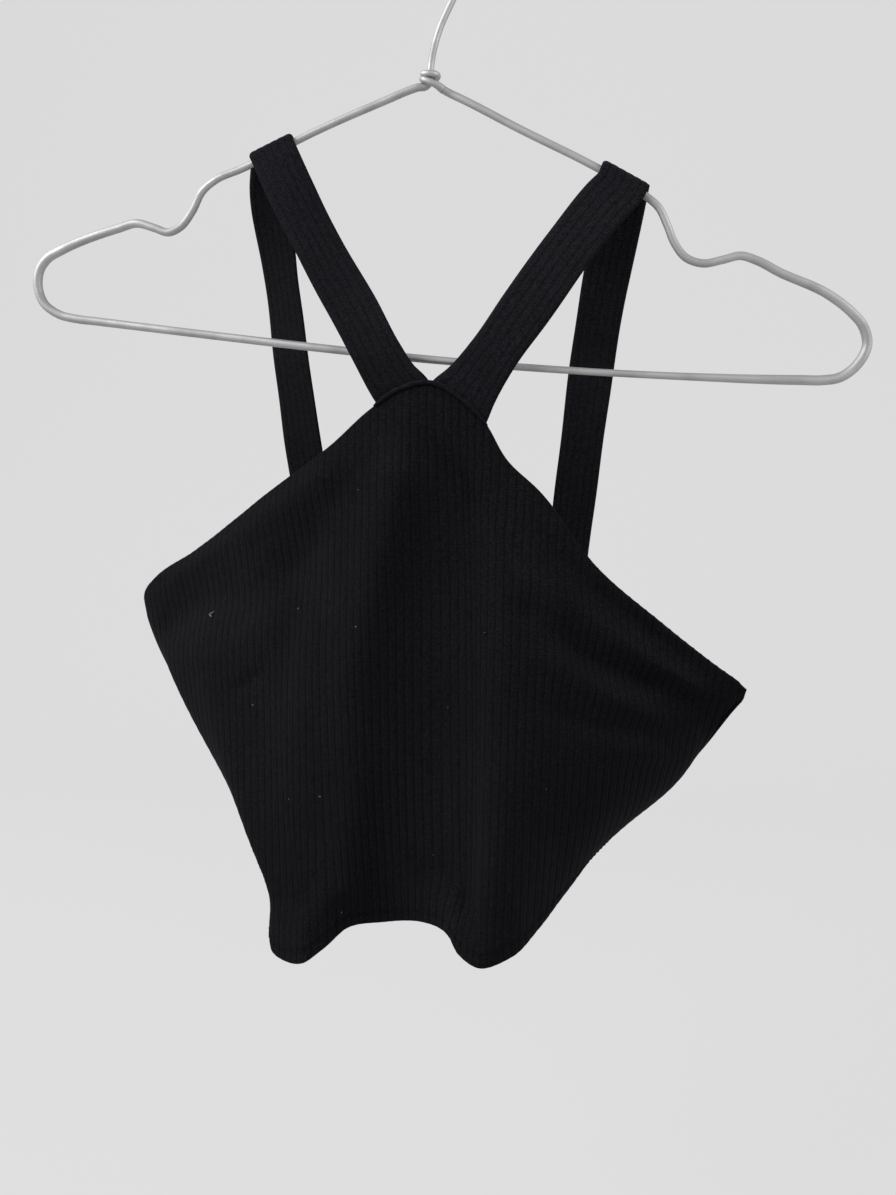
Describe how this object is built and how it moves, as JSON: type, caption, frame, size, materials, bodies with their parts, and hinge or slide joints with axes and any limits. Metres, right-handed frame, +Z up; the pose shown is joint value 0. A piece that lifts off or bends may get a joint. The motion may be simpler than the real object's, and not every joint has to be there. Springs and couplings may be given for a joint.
{
  "type": "cross-front top on a wire hanger",
  "caption": "Cropped fine-rib top with a high pointed neck, cut-away armholes and shoulder straps, hanging from a notched wire hanger.",
  "frame": {"origin": "the point inside the top of the hanger's hook that bears on a rod", "axes": "+X along the hanger to the right as seen from the garment's front, +Y from the garment's front to its back, +Z up"},
  "size_m": [0.403, 0.144, 0.5278],
  "materials": {
    "rib_knit": "matte black fine-rib knit",
    "hanger_wire": "satin grey metal wire"
  },
  "bodies": {
    "root": {"front_panel": "rib_knit", "back_panel": "rib_knit", "strap_left": "rib_knit", "strap_right": "rib_knit", "neck_roll": "rib_knit", "hanger_hook": "hanger_wire", "hanger_collar": "hanger_wire", "hanger_arm_left": "hanger_wire", "hanger_end_left": "hanger_wire", "hanger_bar": "hanger_wire", "hanger_end_right": "hanger_wire", "hanger_arm_right": "hanger_wire"}
  },
  "joints": []
}
